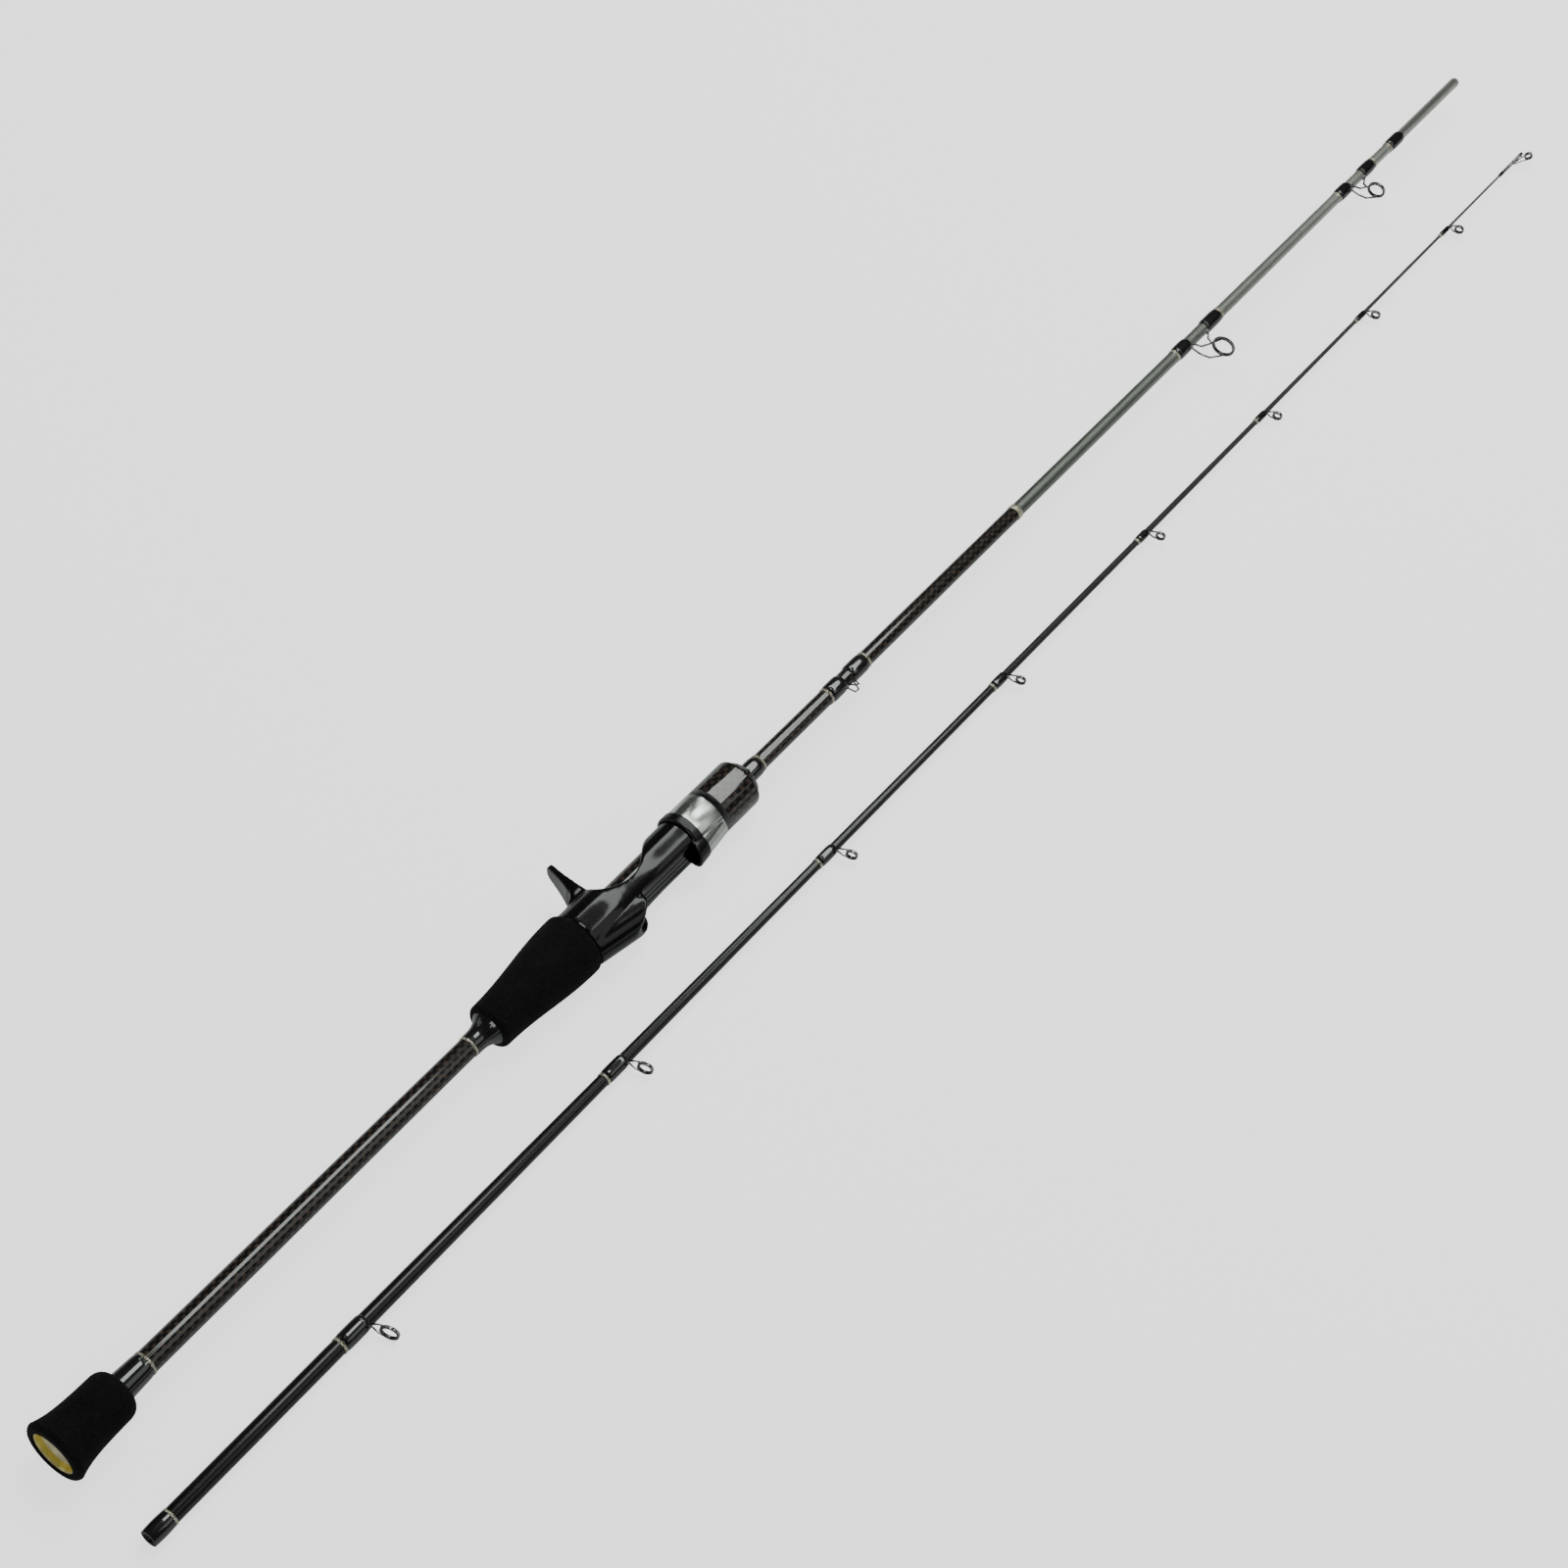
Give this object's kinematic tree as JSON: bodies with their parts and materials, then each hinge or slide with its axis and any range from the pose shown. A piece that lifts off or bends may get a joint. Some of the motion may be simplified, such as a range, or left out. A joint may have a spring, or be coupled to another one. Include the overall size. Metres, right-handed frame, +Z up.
{
  "type": "fishing rod",
  "caption": "Two-piece baitcasting rod lying apart: flared butt grip, trigger reel seat with sliding hood and lock nut, spigot ferrule, ringed line guides.",
  "frame": {"origin": "middle of the laid-out rod's box, on the resting plane", "axes": "+X from butt to tip along both sections, +Z up, line guides face -Y and the trigger faces +Y"},
  "size_m": [1, 0.1, 0.03],
  "materials": {
    "gold_anodised": "anodised gold, turned",
    "grip_foam": "matt sanded EVA foam",
    "carbon_blank": "clear-coated grey carbon",
    "carbon_blank_tip": "clear-coated dark carbon",
    "carbon_weave": "woven carbon under gloss clear coat",
    "winding_epoxy": "black thread under gloss epoxy",
    "trim_thread": "metallic thread under epoxy",
    "arbor_foam": "foam",
    "seat_body": "semi-gloss moulded nylon",
    "hood_plastic": "satin moulded nylon",
    "polished_band": "satin polished",
    "nut_plastic": "gloss",
    "guide_frame": "dark plated steel",
    "guide_ring": "polished dark ceramic",
    "keeper_wire": "stainless wire",
    "end_ring": "gold-brown lacquer",
    "plug": "satin"
  },
  "bodies": {
    "butt_section": {"butt_end_cap": "gold_anodised", "butt_grip": "grip_foam", "butt_winding": "winding_epoxy", "butt_blank": "carbon_blank", "carbon_weave_sleeve": "carbon_weave", "rear_grip_check": "winding_epoxy", "rear_grip": "grip_foam", "seat_arbors": "arbor_foam", "seat_core_tube": "carbon_weave", "reel_seat": "seat_body", "seat_front_check": "winding_epoxy", "fore_winding": "winding_epoxy", "hook_keeper": "keeper_wire", "keeper_windings": "winding_epoxy", "weave_end_ring": "end_ring", "guide_1_frame": "guide_frame", "guide_1_ring": "guide_ring", "guide_1_windings": "winding_epoxy", "guide_2_frame": "guide_frame", "guide_2_ring": "guide_ring", "guide_2_windings": "winding_epoxy", "stop_winding": "winding_epoxy", "spigot_plug": "plug", "butt_trim_bands": "trim_thread"},
    "hood": {"hood_moulding": "hood_plastic", "hood_band": "polished_band"},
    "lock_nut": {"lock_nut": "nut_plastic", "lock_nut_weave": "carbon_weave"},
    "tip_section": {"tip_blank": "carbon_blank_tip", "ferrule_winding": "winding_epoxy", "tip_trim_bands": "trim_thread", "guide_3_frame": "guide_frame", "guide_3_ring": "guide_ring", "guide_3_winding": "winding_epoxy", "guide_4_frame": "guide_frame", "guide_4_ring": "guide_ring", "guide_4_winding": "winding_epoxy", "guide_5_frame": "guide_frame", "guide_5_ring": "guide_ring", "guide_5_winding": "winding_epoxy", "guide_6_frame": "guide_frame", "guide_6_ring": "guide_ring", "guide_6_winding": "winding_epoxy", "guide_7_frame": "guide_frame", "guide_7_ring": "guide_ring", "guide_7_winding": "winding_epoxy", "guide_8_frame": "guide_frame", "guide_8_ring": "guide_ring", "guide_8_winding": "winding_epoxy", "guide_9_frame": "guide_frame", "guide_9_ring": "guide_ring", "guide_9_winding": "winding_epoxy", "guide_10_frame": "guide_frame", "guide_10_ring": "guide_ring", "guide_10_winding": "winding_epoxy", "tip_top_frame": "guide_frame", "tip_top_ring": "guide_ring", "tip_top_winding": "winding_epoxy"}
  },
  "joints": [
    {"name": "hood_slide", "type": "slide", "parent": "butt_section", "child": "hood", "axis": [-1, 0, 0], "range_m": [0, 0.012]},
    {"name": "nut_spin", "type": "hinge", "parent": "hood", "child": "lock_nut", "pos_m": [-0.088, 0.01525, 0.015], "axis": [-1, 0, 0], "range_deg": [0, 2160]},
    {"name": "tip_slide", "type": "slide", "parent": "butt_section", "child": "tip_section", "axis": [0, -1, 0], "range_m": [0, 0.15]}
  ],
  "couplings": [
    {"joint": "hood_slide", "follows": "nut_spin", "m_per_rad": 0.000318}
  ]
}
